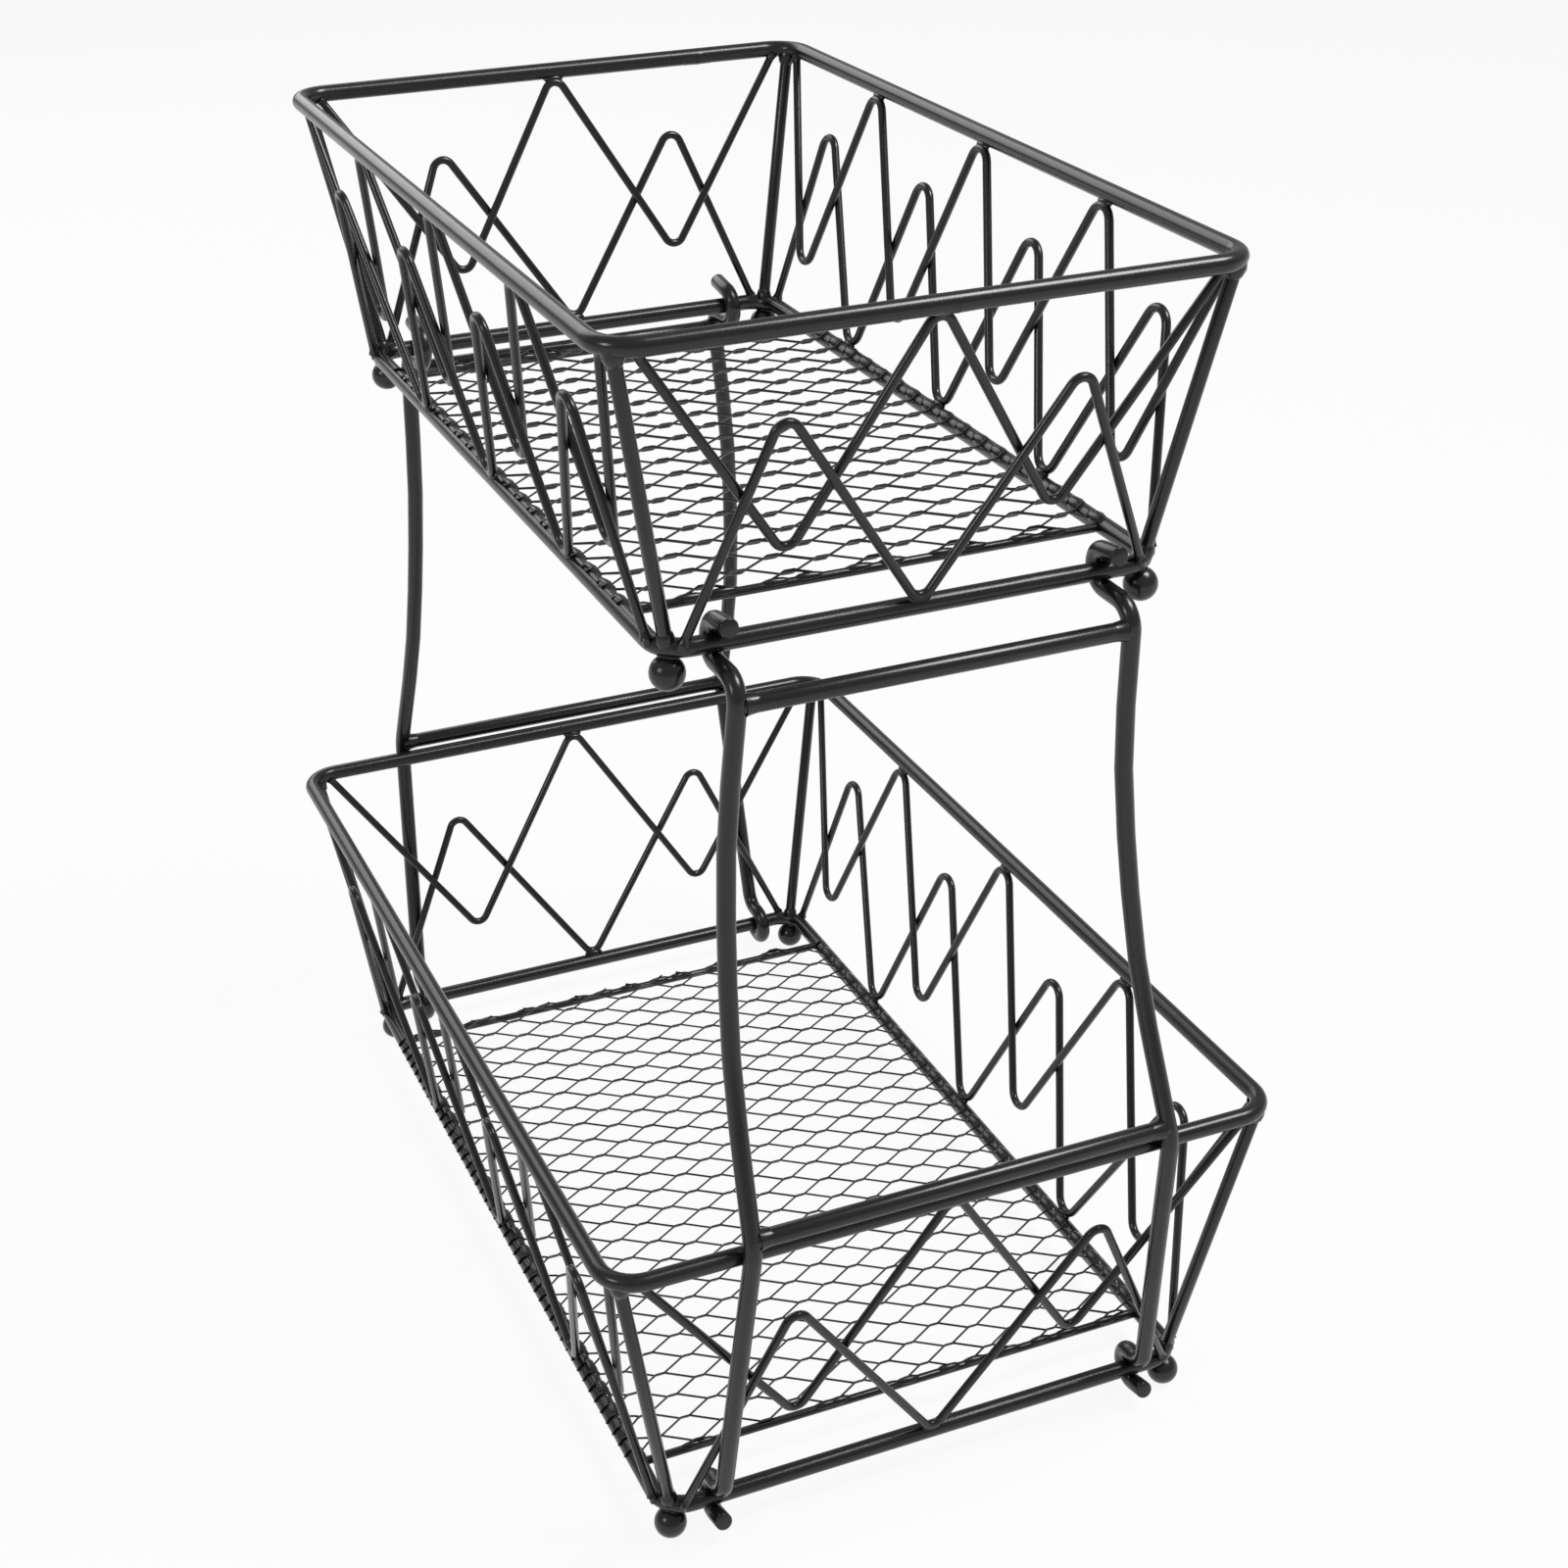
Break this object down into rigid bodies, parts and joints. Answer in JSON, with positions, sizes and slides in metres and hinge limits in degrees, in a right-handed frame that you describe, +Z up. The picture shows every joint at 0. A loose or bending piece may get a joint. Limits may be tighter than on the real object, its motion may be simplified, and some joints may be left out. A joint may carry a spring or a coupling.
{
  "type": "tiered wire basket",
  "caption": "Two-tier basket of welded black wire: flared baskets with zig-zag walls, expanded-sheet floors and ball feet, held apart by hooked end frames.",
  "frame": {"origin": "on the table under the middle of the baskets", "axes": "+X across the baskets, +Y along them to the far end, +Z up"},
  "size_m": [0.242, 0.3952, 0.4139],
  "materials": {
    "coated_wire": "satin black coating on steel wire",
    "coated_sheet": "satin black coating on expanded steel sheet"
  },
  "bodies": {
    "root": {"far_hook_bar": "coated_wire", "far_leg_left": "coated_wire", "far_leg_right": "coated_wire", "far_rim_bar": "coated_wire", "lower_base_ring": "coated_wire", "lower_floor_sheet": "coated_sheet", "lower_floor_wire_far": "coated_wire", "lower_floor_wire_near": "coated_wire", "lower_foot_far_left": "coated_wire", "lower_foot_far_right": "coated_wire", "lower_foot_near_left": "coated_wire", "lower_foot_near_right": "coated_wire", "lower_hung_zigzag_far": "coated_wire", "lower_hung_zigzag_left": "coated_wire", "lower_hung_zigzag_near": "coated_wire", "lower_hung_zigzag_right": "coated_wire", "lower_post_far_left": "coated_wire", "lower_post_far_right": "coated_wire", "lower_post_near_left": "coated_wire", "lower_post_near_right": "coated_wire", "lower_rim": "coated_wire", "lower_standing_zigzag_far": "coated_wire", "lower_standing_zigzag_left": "coated_wire", "lower_standing_zigzag_near": "coated_wire", "lower_standing_zigzag_right": "coated_wire", "near_hook_bar": "coated_wire", "near_leg_left": "coated_wire", "near_leg_right": "coated_wire", "near_rim_bar": "coated_wire", "upper_base_ring": "coated_wire", "upper_floor_sheet": "coated_sheet", "upper_floor_wire_far": "coated_wire", "upper_floor_wire_near": "coated_wire", "upper_foot_far_left": "coated_wire", "upper_foot_far_right": "coated_wire", "upper_foot_near_left": "coated_wire", "upper_foot_near_right": "coated_wire", "upper_hung_zigzag_far": "coated_wire", "upper_hung_zigzag_left": "coated_wire", "upper_hung_zigzag_near": "coated_wire", "upper_hung_zigzag_right": "coated_wire", "upper_post_far_left": "coated_wire", "upper_post_far_right": "coated_wire", "upper_post_near_left": "coated_wire", "upper_post_near_right": "coated_wire", "upper_rim": "coated_wire", "upper_standing_zigzag_far": "coated_wire", "upper_standing_zigzag_left": "coated_wire", "upper_standing_zigzag_near": "coated_wire", "upper_standing_zigzag_right": "coated_wire"}
  },
  "joints": []
}
